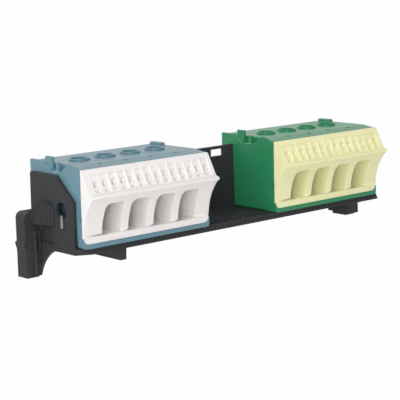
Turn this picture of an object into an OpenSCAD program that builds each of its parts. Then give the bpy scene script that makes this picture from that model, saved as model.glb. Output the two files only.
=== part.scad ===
// Two rail-mounted terminal blocks, one blue and one green, on a black clip-on carrier.
// X runs along the carrier, -Y is the wiring side, +Z is up.
// Sizes are worked out from the first block's front lower left corner, with the blocks
// standing on height 0, and the finished part has its origin in the middle of the clip
// foot's rear face, where it meets the enclosure's upright.

/* [Blocks] */
// Width of one terminal block along the carrier
block_w = 75; // [74:1:100]
// How far the terminals sit to the right of the block's middle
terminal_shift = 0.8; // [0:0.1:1]
// Free length of carrier between the two blocks
block_gap = 45; // [5:1:120]
// Height of the block's top deck above the carrier's shelf
deck_h = 37; // [36:0.2:46]
// Depth of the block's lower part, from the cover's front plane to the rear face
block_d = 31; // [30:0.2:40]
// Depth of the rear hook that lies over the carrier's back wall
hook_d = 8.6; // [7:0.2:12]
// How far the hook reaches down behind the back wall
hook_lip = 1.6; // [0.5:0.1:3]
// Wall thickness of the block's body
body_wall = 1.6; // [1.2:0.1:2]
// Thickness of the body's floor and of its rear wall
floor_t = 2; // [1.6:0.1:2.2]
// Thickness of the body's top deck
deck_t = 1.8; // [1.2:0.1:2.4]
// Height of the raised rim along the deck's left end
end_rise = 0.8; // [0.3:0.1:1.5]
// Depth of the sloping front strip of the deck
brow_d = 8.2; // [5:0.1:9.5]
// Drop of the sloping front strip towards the cover
brow_drop = 1; // [0.4:0.1:1.4]

/* [Front cover] */
// Wall thickness of the cover
cover_t = 1.6; // [1.2:0.1:2]
// Thickness of the cover's two end cheeks
cheek_t = 2.4; // [2.2:0.1:2.6]
// Depth of the cover's plain edge behind its front plane
edge_d = 1.1; // [0.8:0.1:1.5]
// Radius of the cover's two lower corners
corner_r = 3; // [1:0.5:4]
// How far the cover's nose stands out from its front plane
nose_out = 8.5; // [7.8:0.1:10]
// Height of the nose above the block's underside
nose_z = 24.1; // [23.5:0.1:25.5]
// Radius of the nose
nose_r = 0.9; // [0.6:0.1:1.2]
// Radius of the hollow curve under the nose
hollow_r = 26.2; // [25:0.2:30]
// Height at which the hollow curve starts
hollow_z = 5; // [4:0.2:6]
// Depth of the skirt that slides into the body
skirt_d = 2.9; // [2:0.1:3.5]

/* [Screw terminals] */
// Number of screw terminals on a block
pole_count = 4; // [4:1:4]
// Pitch of the screw terminals
pole_pitch = 15; // [14.5:0.1:18]
// Width of a wire pocket
pocket_w = 10.5; // [8.5:0.1:10.8]
// Height of a wire pocket
pocket_h = 14.8; // [12:0.1:15]
// Height of a wire pocket's floor above the block's underside
pocket_z = 5.4; // [5:0.1:6]
// Radius of a wire pocket's two upper corners
pocket_r = 2.2; // [0.5:0.1:3]
// Depth of the wire pocket's tube behind the cover's front plane
tube_d = 16; // [14:0.2:18]
// Radius of the screwdriver well
well_r = 3.9; // [3.6:0.05:4.7]
// Wall of the screwdriver well
well_t = 1; // [0.8:0.1:1.4]
// Height of the well's collar above the deck
collar_h = 1; // [0.8:0.1:2.5]
// Radius of the clamp screw's head
head_r = 3.4; // [3.2:0.05:3.5]
// Height of the clamp screw's head
head_h = 3; // [2.5:0.1:4]
// Radius of the clamp screw's shank
shank_r = 2.5; // [2:0.05:3]
// Running clearance round the shank in the cage's thread
thread_gap = 0.05; // [0.02:0.01:0.1]
// Width of a clamp cage
cage_w = 10.4; // [9:0.1:11]
// Depth of a clamp cage
cage_d = 9; // [8:0.1:10]
// Wall of a clamp cage
cage_t = 1.6; // [1.2:0.1:1.8]
// Thickness of the threaded top of a clamp cage
nut_t = 2.8; // [2:0.1:3.2]
// Clear height under the busbar with the clamp open
mouth_h = 10; // [9.2:0.1:10.4]
// Lift of the cage from open to shut
lift = 6; // [3:0.1:6]

/* [Plug-in terminals] */
// Number of plug-in terminals on a block
plug_count = 14; // [14:1:14]
// Pitch of the plug-in terminals
plug_pitch = 5; // [4.4:0.1:5.1]
// Width of a plug-in terminal's shallow cell
cell_w = 4; // [3:0.1:4.2]
// Depth of the shallow cell
cell_t = 0.5; // [0.2:0.1:0.8]
// Width of a plug-in wire hole
plug_w = 2.4; // [1.8:0.1:2.8]
// Length of a plug-in wire hole along the slope
plug_l = 3; // [2:0.1:3.4]
// Width of a release slot
slot_w = 1.8; // [1.2:0.1:2.4]
// Length of a release slot along the slope
slot_l = 1.2; // [0.8:0.1:1.4]
// Thickness of the spring strip
spring_t = 0.5; // [0.3:0.05:0.7]
// Width of the spring strip
spring_w = 3.4; // [2.6:0.1:3.8]

/* [Busbar] */
// Thickness of the busbar
bar_t = 1.4; // [1:0.1:1.5]
// Width of the busbar's tongues
tongue_w = 6.4; // [5:0.1:6.6]

/* [Carrier] */
// Thickness of the carrier's shelf
shelf_t = 3; // [2:0.1:4]
// Thickness of the carrier's back wall
back_t = 2.4; // [1.6:0.1:3]
// Thickness of the left end plate
plate_t = 2; // [1.8:0.1:3]
// Length of shelf past the second block
tail = 2.6; // [1:0.1:10]
// Pitch of the fine rack along the shelf's front
rack_pitch = 2.5; // [2:0.1:5]
// Depth of the rack's notches
rack_t = 0.4; // [0.3:0.1:1.5]
// Pitch of the windows in the back wall
window_pitch = 15; // [13:0.5:30]
// Width of a window
window_w = 9; // [3:0.1:12]
// Height of a window
window_h = 3.8; // [2:0.1:6]
// Pitch of the slots in the shelf
shelf_pitch = 5; // [4:0.5:10]
// Width of a slot in the shelf
shelf_slot_w = 2.8; // [1:0.1:3.5]
// Length of a slot in the shelf
shelf_slot_l = 6; // [3:0.5:12]

/* [Clip foot] */
// How far the clip foot stands out from the end plate's outer face
foot_out = 7.9; // [7:0.1:14]
// Thickness of the clip foot
foot_t = 7.3; // [5:0.1:8]
// Height of the clip foot's top above the shelf
foot_top = 14.5; // [13:0.5:17]
// Depth of the clip foot below the shelf
foot_drop = 16.5; // [12:0.5:22]
// Radius of the foot's outer top corner
foot_r = 3; // [1:0.5:4]
// Radius of the hollow between end plate and foot
fairing_r = 20.7; // [18:0.1:23]
// Number of grip ribs on the thumb pad
grip_count = 6; // [3:1:8]
// Width of the steel latch leaf in the end plate
leaf_w = 1.8; // [1:0.1:2.5]
// Height of the latch leaf
leaf_h = 6.1; // [4:0.1:6.5]
// How far the latch leaf stands out of the end plate
leaf_out = 0.9; // [0.4:0.1:1.5]

/* [Hidden] */
$fn = 48;
eps = 0.01;
reach = 60;

// Fits
seat_gap = 0.1;
side_gap = 0.3;
head_gap = 0.3;
stop_gap = 0.4;
tongue_gap = 0.6;
rear_gap = 2;

// Block positions
neutral_x = 0;
earth_x = block_w + block_gap;
function pole_x(k) = block_w / 2 + terminal_shift + (k - (pole_count - 1) / 2) * pole_pitch;
function plug_x(k) = block_w / 2 + terminal_shift + (k - (plug_count - 1) / 2) * plug_pitch;

// Body
frame_y = edge_d + seat_gap;
rim_z = floor_t + seat_gap;
lip_out = 0.3;
foot_round = 1.5;
ceiling_z = deck_h - deck_t;
hook_rear = block_d + hook_d;
rear_inner = block_d - floor_t;
hook_t = 4.6;
hook_z = deck_h - hook_t;
hook_inner = hook_rear - body_wall;

// Front cover
cover_gap = 0.1;
cover_top = deck_h - brow_drop;
slope_top_y = -0.6;
slope_top_z = cover_top - 0.4;
nose_y = nose_r - nose_out;
slope_low_y = nose_y + 1.9;
slope_low_z = nose_z + nose_r + 0.6;
slope_run = slope_top_y - slope_low_y;
slope_fall = slope_top_z - slope_low_z;
slope_len = sqrt(slope_run * slope_run + slope_fall * slope_fall);
slope_angle = atan2(slope_run, slope_fall);
slope_wall = cover_t / cos(slope_angle);
slope_proud = 1;
function slope_y(z) = slope_top_y - (slope_top_z - z) * slope_run / slope_fall;
skirt_t = 1.2;
skirt_root = 1;
skirt_inset = body_wall + side_gap;
tube_t = 1.2;
pocket_top = pocket_z + pocket_h;
tube_top = pocket_top + tube_t;
latch_z = 12.4;
latch_h = 2;
latch_d = 1.2;

// Clamp parts, from the busbar's tongue outwards
tongue_z = 17;
tongue_top = tongue_z + bar_t;
mouth_z = tongue_z - mouth_h;
cage_base = mouth_z - cage_t;
nut_z = tongue_top + tongue_gap;
cage_top = nut_z + nut_t;
seat_z = cage_top + lift + stop_gap + well_t;
well_y = rear_inner - rear_gap - cage_d / 2;
tongue_end = well_y + cage_d / 2 - stop_gap;
shank_tip = tongue_top + seat_gap;
driver_w = 1.1;
driver_l = 4.6;
driver_d = 1.8;

// Busbar and springs
joggle_y = tube_d + 0.2;
bar_y = tube_d - 5;
bar_z = tube_top + 0.5;
bar_top = ceiling_z - 1.7;
partition_t = 1.2;
partition_y = bar_y + bar_t + seat_gap;
spring_rear = bar_y - seat_gap;
spring_front = 6.5;
spring_base = bar_z + 2;
spring_top = bar_top - 0.5;
spring_tip_z = spring_base + 3.2;

// Features of the body's top
collar_top = deck_h + collar_h;
collar_lead = 0.4;
collar_rim = 0.3;
test_r = 0.9;
test_y = 6.7;
notch_x = 3.4;
notch_r = 14;
notch_floor = deck_h - 3.1;
notch_y = well_y - 1.8;
notch_rim = 0.8;
bed_x = 4.8;
bed_y = partition_y + 0.2;
lug_t = 2;
lug_w = 5;
lug_r = 0.8;
lug_h = 2.9;
lug_y = well_y + 1.5;
lug_x = 1;
lug_foot = notch_floor - 0.5;
rear_lug_w = 3;
rear_lug_h = 1.5;
rib_t = 1.6;
rib_gap = 3.8;

// Carrier
rail_left = -plate_t;
rail_right = earth_x + block_w + tail;
end_slant = 1.6;
shelf_y = 0.6;
back_y = block_d + 0.2;
back_top = hook_z - seat_gap;
rail_rear = back_y + back_t;
hook_lip_y = rail_rear + side_gap;
rack_gap = rack_pitch / 2;
rack_h = shelf_t * 0.7;
rack_from = 3;
rack_count = floor((rail_right - end_slant - rack_pitch) / rack_pitch);
window_top = back_top - 1.3;
window_count = floor((rail_right - end_slant) / window_pitch);
slot_count = floor((rail_right - end_slant - shelf_pitch) / shelf_pitch);
slot_y = 3;
plate_front = 4.4;
plate_rear = hook_rear - 0.8;
plate_inset = 1.5;
plate_top = back_top;
chamfer_y = 12.8;
chamfer_z = 11;
corner_x = 5;
web_x = 21.5;
web_w = 3.8;
web_y = 1.5;
web_drop = 5.5;
prop_x = earth_x + 55.5;
prop_w = 6;
prop_d = 16;
prop_drop = 5.2;
prop_heel_y = 3.4;
prop_heel_d = 10;
prop_heel = 1.2;

// Clip foot, whose rear face carries the part's origin
foot_x = -plate_t - foot_out;
foot_y = plate_rear - foot_t;
origin = [foot_x + foot_out / 2, plate_rear, (foot_top - foot_drop) / 2];
foot_low_r = 2;
fairing_y = plate_rear - 18.8;
fairing_mid_y = plate_rear - 25;
fairing_mid_z = 1.1 - shelf_t - fairing_r;
barb_top = 0.8;
barb_z = 0.1;
barb_low = -3.6;
barb_out = 1;
fin_t = 1.3;
fin_d = 1.8;
fin_top = 4.5;
fin_gap = 1.3;
fin_inset = 0.2;
fin_low = -3.7;
fin_lift = 0.6;
pad_z = 9;
pad_r = 5.5;
pad_mid_z = 14.2;
pad_mid_y = plate_rear - 14.8;
pad_front = plate_rear - 20.2;
pad_slope_rear = plate_rear - 9.5;
pad_out = 4;
grip_r = 0.55;
pad_hollow_t = 1.4;
pad_hollow_y = pad_front + 2;
pad_hollow_z = -2.2;
arch_y = 13.4;
arch_z = 15;
arch_rise = 1.4;
arch_r = 4;
arch_gap = 2.4;
leaf_y = 12.5;
leaf_z = 8.5;
leaf_seat_t = 1;

// Moves a piece of the block at x along the carrier into the part's own frame
module placed(x) {
    translate([x, 0, 0] - origin)
        children();
}

// Stands a drawing made in the (Y, Z) plane upright and draws it out along X
module along_x(length) {
    rotate([90, 0, 90])
        linear_extrude(height = length)
            children();
}

// Stands a drawing made in the (X, Z) plane upright and draws it out along +Y
module along_y(length) {
    translate([0, length, 0])
        rotate([90, 0, 0])
            linear_extrude(height = length)
                children();
}

// Rectangle with its two lower corners rounded
module low_round(w, h, r) {
    translate([0, r])
        square([w, h - r]);
    translate([r, 0])
        square([w - 2 * r, h]);
    translate([r, r])
        circle(r = r);
    translate([w - r, r])
        circle(r = r);
}

// Side outline of the body, with the deck sloping down to the cover
module body_outline() {
    polygon([
        [frame_y, 0],
        [block_d, 0],
        [block_d, hook_z],
        [hook_lip_y, hook_z],
        [hook_lip_y, hook_z - hook_lip],
        [hook_rear, hook_z - hook_lip],
        [hook_rear, deck_h],
        [brow_d, deck_h],
        [frame_y, cover_top],
    ]);
}

// Side outline of the body's left end wall, a little above the deck and sloping down to the cover
module end_outline() {
    polygon([
        [frame_y, 0],
        [block_d, 0],
        [block_d, hook_z],
        [hook_lip_y, hook_z],
        [hook_lip_y, hook_z - hook_lip],
        [hook_rear, hook_z - hook_lip],
        [hook_rear, deck_h + end_rise],
        [brow_d, deck_h + end_rise],
        [frame_y, cover_top],
    ]);
}

// Outer block of the body, with a raised rim at its left end and rounded lower edges
module body_block() {
    intersection() {
        union() {
            along_x(block_w)
                body_outline();
            along_x(body_wall)
                end_outline();
        }
        along_y(reach)
            low_round(block_w, reach, foot_round);
    }
}

// Rim under the cover, which follows the cover's rounded lower corners
module body_lip() {
    intersection() {
        difference() {
            translate([0, -lip_out, 0])
                cube([block_w, frame_y + lip_out + eps, rim_z + corner_r]);
            translate([0, -lip_out - eps, rim_z - seat_gap])
                along_y(reach)
                    low_round(block_w, reach, corner_r);
        }
        translate([0, -lip_out, 0])
            along_y(reach)
                low_round(block_w, reach, foot_round);
    }
}

// Hollow of the body, open to the front, and the groove under its hook
module body_hollow() {
    translate([body_wall, 0, floor_t])
        cube([block_w - 2 * body_wall, rear_inner, ceiling_z - floor_t]);
    translate([body_wall, block_d + eps, hook_z - hook_lip - eps])
        cube([block_w - 2 * body_wall, hook_inner - block_d, hook_lip + hook_t - deck_t]);
}

// Walls between the screw terminals
module body_partitions() {
    for (k = [0 : pole_count])
        translate([pole_x(k) - (pole_pitch + partition_t) / 2, partition_y, floor_t - eps])
            cube([partition_t, rear_inner - partition_y + eps, ceiling_z - floor_t + 2 * eps]);
}

// Solid bed at the left end, in which the top notch is sunk
module notch_bed() {
    translate([eps, bed_y, notch_floor - deck_t])
        cube([bed_x, rear_inner - bed_y + eps, deck_h - notch_floor + deck_t - eps]);
}

// Dished round notch in the left end's top edge, with a chamfered rim
module notch_cut() {
    translate([-eps, notch_y, notch_floor + notch_r])
        rotate([0, 90, 0]) {
            cylinder(r = notch_r, h = notch_x, $fn = 96);
            cylinder(r1 = notch_r + notch_rim, r2 = notch_r, h = notch_rim, $fn = 96);
        }
}

// Upright lugs: a round-edged one in the notch with a rib beside it, one by the far rear corner
module body_lugs() {
    translate([lug_x, lug_y, lug_foot])
        linear_extrude(height = deck_h + lug_h - lug_foot) {
            translate([0, lug_r])
                square([lug_t, lug_w - 2 * lug_r]);
            translate([lug_r, 0])
                square([lug_t - lug_r, lug_w]);
            for (y = [lug_r, lug_w - lug_r])
                translate([lug_r, y])
                    circle(r = lug_r);
        }
    translate([lug_x, lug_y - rib_gap - rib_t, lug_foot])
        cube([rib_t, rib_t, deck_h + end_rise - lug_foot]);
    translate([block_w - body_wall - rear_lug_w, block_d - body_wall, deck_h - eps])
        cube([rear_lug_w, hook_d, rear_lug_h]);
}

// Collars of the screwdriver wells, from the screw seats up through the deck
module well_posts() {
    for (k = [0 : pole_count - 1])
        translate([pole_x(k), well_y, 0]) {
            translate([0, 0, seat_z - well_t])
                cylinder(r = well_r + well_t, h = collar_top - collar_rim - seat_z + well_t);
            translate([0, 0, collar_top - collar_rim])
                cylinder(r1 = well_r + well_t, r2 = well_r + well_t - collar_rim, h = collar_rim);
        }
}

// Stepped bores of the screwdriver wells
module well_bores() {
    for (k = [0 : pole_count - 1])
        translate([pole_x(k), well_y, 0]) {
            translate([0, 0, seat_z])
                cylinder(r = well_r, h = reach);
            translate([0, 0, seat_z - well_t - eps])
                cylinder(r = shank_r + head_gap, h = reach);
            translate([0, 0, collar_top - collar_lead])
                cylinder(r1 = well_r, r2 = well_r + collar_lead, h = collar_lead + eps);
        }
}

// Test holes in the sloping front of the deck
module test_holes() {
    for (k = [0 : pole_count - 1])
        translate([pole_x(k), test_y, ceiling_z - deck_t])
            cylinder(r = test_r, h = reach);
}

// Latch windows at the front edge of both end walls
module latch_windows() {
    translate([-eps, frame_y - eps, latch_z])
        cube([block_w + 2 * eps, latch_d, latch_h]);
}

// Arched outline of the release window in the (Y, Z) plane, grown by grow
module window_arch(grow) {
    translate([arch_y, arch_z + arch_rise])
        circle(r = arch_r + grow);
    translate([arch_y - arch_r - grow, arch_z - grow])
        square([2 * (arch_r + grow), arch_rise + grow]);
}

// Moulded body of a terminal block, with a window in its left end where it stands at the end plate
module block_body(window) {
    difference() {
        union() {
            difference() {
                body_block();
                body_hollow();
            }
            body_lip();
            body_partitions();
            notch_bed();
            well_posts();
        }
        well_bores();
        test_holes();
        latch_windows();
        notch_cut();
        if (window)
            translate([-eps, 0, 0])
                along_x(body_wall + 2 * eps)
                    window_arch(arch_gap);
    }
    body_lugs();
}

// Side outline of the cover's outside, up to its nose, reaching back to depth back
module cover_outline(back) {
    polygon([
        [back, rim_z],
        [0, rim_z],
        [0, hollow_z],
        [nose_y, nose_z - nose_r],
        [nose_y, nose_z + nose_r],
        [slope_low_y, slope_low_z],
        [slope_top_y, slope_top_z],
        [0, cover_top],
        [back, cover_top],
    ]);
}

// Round bar that hollows the cover's lower face, grown by grow
module hollow_bar(grow) {
    translate([-reach, -hollow_r, hollow_z])
        rotate([0, 90, 0])
            cylinder(r = hollow_r + grow, h = block_w + 2 * reach, $fn = 128);
}

// The cover's outside as a solid, cover_gap in from the block's ends
module cover_block(back) {
    difference() {
        translate([cover_gap, 0, 0])
            along_x(block_w - 2 * cover_gap)
                cover_outline(back);
        hollow_bar(0);
    }
    translate([cover_gap, nose_y, nose_z])
        rotate([0, 90, 0])
            cylinder(r = nose_r, h = block_w - 2 * cover_gap);
}

// Hollow behind the cover's wall
module cover_hollow() {
    difference() {
        translate([cheek_t, 0, 0])
            along_x(block_w - 2 * cheek_t)
                polygon([
                    [reach, rim_z + cover_t],
                    [cover_t, rim_z + cover_t],
                    [cover_t, hollow_z],
                    [slope_y(nose_z) + slope_wall, nose_z],
                    [slope_y(cover_top - cover_t) + slope_wall, cover_top - cover_t],
                    [reach, cover_top - cover_t],
                ]);
        hollow_bar(cover_t);
    }
}

// Skirt that slides into the body, relieved beside the latch windows
module cover_skirt() {
    skirt_z = floor_t + side_gap;
    skirt_top = min(ceiling_z, cover_top) - side_gap;
    difference() {
        translate([skirt_inset, edge_d - skirt_root, skirt_z])
            cube([block_w - 2 * skirt_inset, skirt_d + skirt_root, skirt_top - skirt_z]);
        translate([skirt_inset + skirt_t, edge_d - skirt_root - eps, skirt_z + skirt_t])
            cube([block_w - 2 * (skirt_inset + skirt_t), reach, skirt_top - skirt_z - 2 * skirt_t]);
        translate([-eps, edge_d, latch_z - skirt_t])
            cube([block_w + 2 * eps, reach, latch_h + 2 * skirt_t]);
    }
}

// Tubes round the wire pockets
module pocket_tubes() {
    intersection() {
        cover_block(tube_d);
        for (k = [0 : pole_count - 1])
            translate([pole_x(k) - pocket_w / 2 - tube_t, -reach, pocket_z - tube_t])
                cube([pocket_w + 2 * tube_t, 2 * reach, pocket_h + 2 * tube_t]);
    }
}

// Wire pockets with rounded upper corners, right through the tubes
module wire_pockets() {
    for (k = [0 : pole_count - 1])
        translate([pole_x(k) - pocket_w / 2, -reach, pocket_top])
            mirror([0, 0, 1])
                along_y(2 * reach)
                    low_round(pocket_w, pocket_h, pocket_r);
}

// Box on the cover's slope: distance from and length along the slope, width and depth
module slope_box(from, length, width, depth) {
    translate([-width / 2, -slope_proud, -from - length])
        cube([width, depth + slope_proud, length]);
}

// Cells, wire holes and release slots of the plug-in terminals
module plug_cuts() {
    cell_from = 2.2;
    cell_end = slope_len - 0.3;
    plug_from = 5.2;
    plug_deep = 4;
    slot_from = cell_end - 0.2 - slot_l;
    for (k = [0 : plug_count - 1])
        translate([plug_x(k), slope_top_y, slope_top_z])
            rotate([-slope_angle, 0, 0]) {
                slope_box(cell_from, cell_end - cell_from, cell_w, cell_t);
                slope_box(plug_from, plug_l, plug_w, plug_deep);
                slope_box(slot_from, slot_l, slot_w, plug_deep);
            }
}

// Moulded front cover of a terminal block
module block_cover() {
    difference() {
        union() {
            intersection() {
                difference() {
                    cover_block(edge_d);
                    cover_hollow();
                }
                translate([cover_gap, -reach, rim_z])
                    along_y(2 * reach)
                        low_round(block_w - 2 * cover_gap, reach, corner_r);
            }
            cover_skirt();
            pocket_tubes();
        }
        wire_pockets();
        plug_cuts();
    }
}

// Comb-shaped busbar: a strip behind the plug-in terminals and a cranked tongue into each cage
module block_busbar() {
    strip_from = plug_x(0) - spring_w / 2;
    strip_to = plug_x(plug_count - 1) + spring_w / 2;
    translate([strip_from, bar_y, bar_z])
        cube([strip_to - strip_from, bar_t, bar_top - bar_z]);
    for (k = [0 : pole_count - 1])
        translate([pole_x(k) - tongue_w / 2, 0, 0])
            along_x(tongue_w)
                polygon([
                    [bar_y, bar_z],
                    [joggle_y, bar_z],
                    [joggle_y, tongue_z],
                    [tongue_end, tongue_z],
                    [tongue_end, tongue_top],
                    [joggle_y + bar_t, tongue_top],
                    [joggle_y + bar_t, bar_z + bar_t],
                    [bar_y, bar_z + bar_t],
                ]);
}

// Bent strip springs of the plug-in terminals, each with its back to the busbar's strip
module block_springs() {
    t = spring_t;
    tip_y = spring_rear - 2 * t;
    for (k = [0 : plug_count - 1])
        translate([plug_x(k) - spring_w / 2, 0, 0])
            along_x(spring_w)
                polygon([
                    [spring_rear, spring_base],
                    [spring_rear, spring_top],
                    [spring_front, spring_top],
                    [spring_front, spring_top - 2 * t],
                    [tip_y - t, spring_tip_z],
                    [tip_y, spring_tip_z],
                    [spring_front + t, spring_top - 2 * t],
                    [spring_front + t, spring_top - t],
                    [spring_rear - t, spring_top - t],
                    [spring_rear - t, spring_base],
                ]);
}

// Captive clamp screw with a cross recess, in its well
module clamp_screw(k) {
    translate([pole_x(k), well_y, 0])
        difference() {
            union() {
                translate([0, 0, seat_z])
                    cylinder(r = head_r, h = head_h);
                translate([0, 0, shank_tip])
                    cylinder(r = shank_r, h = seat_z - shank_tip + eps);
            }
            for (turn = [0, 90])
                rotate([0, 0, turn])
                    translate([-driver_l / 2, -driver_w / 2, seat_z + head_h - driver_d])
                        cube([driver_l, driver_w, driver_d + eps]);
        }
}

// Rising clamp cage, open towards the wire, threaded at its top
module clamp_cage(k) {
    translate([pole_x(k), well_y, 0])
        difference() {
            translate([-cage_w / 2, -cage_d / 2, cage_base])
                cube([cage_w, cage_d, cage_top - cage_base]);
            translate([cage_t - cage_w / 2, -cage_d, mouth_z])
                cube([cage_w - 2 * cage_t, 2 * cage_d, nut_z - mouth_z]);
            translate([0, 0, nut_z - eps])
                cylinder(r = shank_r + thread_gap, h = nut_t + 2 * eps);
        }
}

// Shelf that the blocks stand on, with its front rack and its row of slots
module carrier_shelf() {
    difference() {
        translate([0, shelf_y, 0])
            along_y(rail_rear - shelf_y)
                polygon([
                    [rail_left, -shelf_t],
                    [rail_right, -shelf_t],
                    [rail_right - end_slant, 0],
                    [rail_left, 0],
                ]);
        translate([0, 0, -shelf_t - eps])
            linear_extrude(height = shelf_t + 2 * eps)
                polygon([
                    [rail_left - eps, shelf_y - eps],
                    [corner_x, shelf_y - eps],
                    [rail_left - eps, plate_front],
                ]);
        for (k = [rack_from : rack_count])
            translate([k * rack_pitch - rack_gap, shelf_y - eps, -rack_h])
                cube([rack_gap, rack_t, rack_h + eps]);
        for (k = [1 : slot_count])
            translate([k * shelf_pitch - shelf_slot_w / 2, slot_y, -shelf_t - eps])
                cube([shelf_slot_w, shelf_slot_l, shelf_t + 2 * eps]);
    }
}

// Back wall with its row of windows, whole behind the second block's left end
module carrier_back() {
    difference() {
        translate([rail_left, back_y, -shelf_t])
            cube([rail_right - end_slant - rail_left, back_t, back_top + shelf_t]);
        for (k = [0 : window_count - 1])
            if (abs(k * window_pitch - earth_x) > window_w / 2)
                translate([k * window_pitch, back_y - eps, window_top - window_h])
                    cube([window_w, back_t + 2 * eps, window_h]);
    }
}

// Left end plate with its cut corner, release window, leaf seat and the hollow down to the clip foot
module end_plate() {
    difference() {
        union() {
            translate([-plate_t, 0, 0])
                along_x(plate_t)
                    polygon([
                        [plate_front, -shelf_t],
                        [plate_front, plate_top - chamfer_z],
                        [plate_front + chamfer_y, plate_top],
                        [plate_rear - plate_inset, plate_top],
                        [plate_rear - plate_inset, foot_top],
                        [plate_rear, foot_top],
                        [plate_rear, -shelf_t],
                    ]);
            difference() {
                translate([-plate_t, fairing_y, -foot_drop])
                    cube([plate_t, plate_rear - fairing_y, foot_drop]);
                translate([-reach / 2, fairing_mid_y, fairing_mid_z])
                    rotate([0, 90, 0])
                        cylinder(r = fairing_r, h = reach, $fn = 128);
            }
        }
        translate([-plate_t - eps, 0, 0])
            along_x(plate_t + 2 * eps)
                window_arch(0);
        translate([-plate_t - eps, leaf_y - leaf_w / 2 - seat_gap, leaf_z - seat_gap])
            cube([leaf_seat_t + eps, leaf_w + 2 * seat_gap, leaf_h + 2 * seat_gap]);
        translate([-plate_t - eps, pad_hollow_y, pad_hollow_z])
            cube([pad_hollow_t + eps, foot_y - pad_hollow_y, pad_z - pad_hollow_z]);
    }
}

// Steel leaf set upright in the end plate under the release window
module leaf_strip() {
    translate([-plate_t - leaf_out, leaf_y - leaf_w / 2, leaf_z])
        cube([leaf_out + leaf_seat_t, leaf_w, leaf_h]);
}

// Clip foot: an upright flange at the rear of the end plate, with two fins and a barb
module clip_foot() {
    fin_x = -plate_t - fin_inset - fin_t;
    translate([0, foot_y, 0])
        along_y(foot_t) {
            translate([foot_x + foot_r, foot_low_r - foot_drop])
                square([foot_out - foot_r + eps, foot_top + foot_drop - foot_low_r]);
            translate([foot_x, -foot_drop])
                square([foot_out - foot_low_r, foot_top + foot_drop - foot_r]);
            translate([foot_x + foot_r, foot_top - foot_r])
                circle(r = foot_r);
            translate([-plate_t - foot_low_r, foot_low_r - foot_drop])
                circle(r = foot_low_r);
            polygon([
                [foot_x - barb_out, barb_z],
                [foot_x + eps, barb_top],
                [foot_x + eps, barb_low],
            ]);
        }
    translate([fin_x - fin_gap - fin_t, foot_y - fin_d, fin_lift - foot_drop])
        cube([fin_t, fin_d + eps, foot_drop - fin_lift + fin_top]);
    translate([fin_x, foot_y - fin_d, fin_low])
        cube([fin_t, fin_d + eps, fin_top - fin_low]);
    translate([fin_x - fin_gap - fin_t, foot_y - fin_d, fin_top - eps])
        cube([2 * fin_t + fin_gap, fin_d + eps, fin_t]);
}

// Ribbed thumb pad with an arched top, ramping out from the end plate to the foot
module thumb_pad() {
    pad_run = pad_slope_rear - pad_front;
    intersection() {
        union() {
            translate([0, 0, pad_z])
                linear_extrude(height = reach)
                    polygon([
                        [-plate_t + eps, pad_front],
                        [-plate_t + eps, foot_y + eps],
                        [-plate_t - pad_out, foot_y + eps],
                        [-plate_t - pad_out, pad_slope_rear],
                    ]);
            for (k = [0 : grip_count - 1])
                translate([
                    -plate_t - pad_out * (k + 0.5) / grip_count,
                    pad_front + pad_run * (k + 0.5) / grip_count,
                    pad_z,
                ])
                    cylinder(r = grip_r, h = reach);
        }
        union() {
            translate([-reach, pad_mid_y, pad_mid_z])
                rotate([0, 90, 0])
                    cylinder(r = pad_r, h = reach);
            translate([-reach, pad_mid_y - pad_r, 0])
                cube([reach, foot_y + fin_t - pad_mid_y + pad_r, pad_mid_z]);
        }
    }
}

// Web and stepped prop under the shelf
module carrier_props() {
    translate([web_x, web_y, -shelf_t - web_drop])
        cube([web_w, rail_rear - web_y, web_drop + eps]);
    translate([prop_x, shelf_y, -shelf_t - prop_drop])
        cube([prop_w, prop_d, prop_drop + eps]);
    translate([prop_x, prop_heel_y, -shelf_t - prop_drop - prop_heel])
        cube([prop_w, prop_heel_d, prop_heel + eps]);
}

// The carrier, one black moulding
module carrier_rail() {
    color("#3a3b3d")
        placed(0) {
            carrier_shelf();
            carrier_back();
            end_plate();
            clip_foot();
            thumb_pad();
            carrier_props();
        }
}

module latch_leaf() {
    color("#9a9c9e")
        placed(0)
            leaf_strip();
}

module neutral_body() {
    color("#5f93a8")
        placed(neutral_x)
            block_body(window = true);
}

module neutral_cover() {
    color("#f4f4f2")
        placed(neutral_x)
            block_cover();
}

module neutral_busbar() {
    color("#c9a04e")
        placed(neutral_x)
            block_busbar();
}

module neutral_springs() {
    color("#b9bcc0")
        placed(neutral_x)
            block_springs();
}

module neutral_screw(k) {
    color("#c4c6c8")
        placed(neutral_x)
            clamp_screw(k);
}

module neutral_cage(k) {
    color("#aeb1b4")
        placed(neutral_x)
            clamp_cage(k);
}

module earth_body() {
    color("#2f8f5f")
        placed(earth_x)
            block_body(window = false);
}

module earth_cover() {
    color("#f1edbb")
        placed(earth_x)
            block_cover();
}

module earth_busbar() {
    color("#c9a04e")
        placed(earth_x)
            block_busbar();
}

module earth_springs() {
    color("#b9bcc0")
        placed(earth_x)
            block_springs();
}

module earth_screw(k) {
    color("#c4c6c8")
        placed(earth_x)
            clamp_screw(k);
}

module earth_cage(k) {
    color("#aeb1b4")
        placed(earth_x)
            clamp_cage(k);
}

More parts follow.
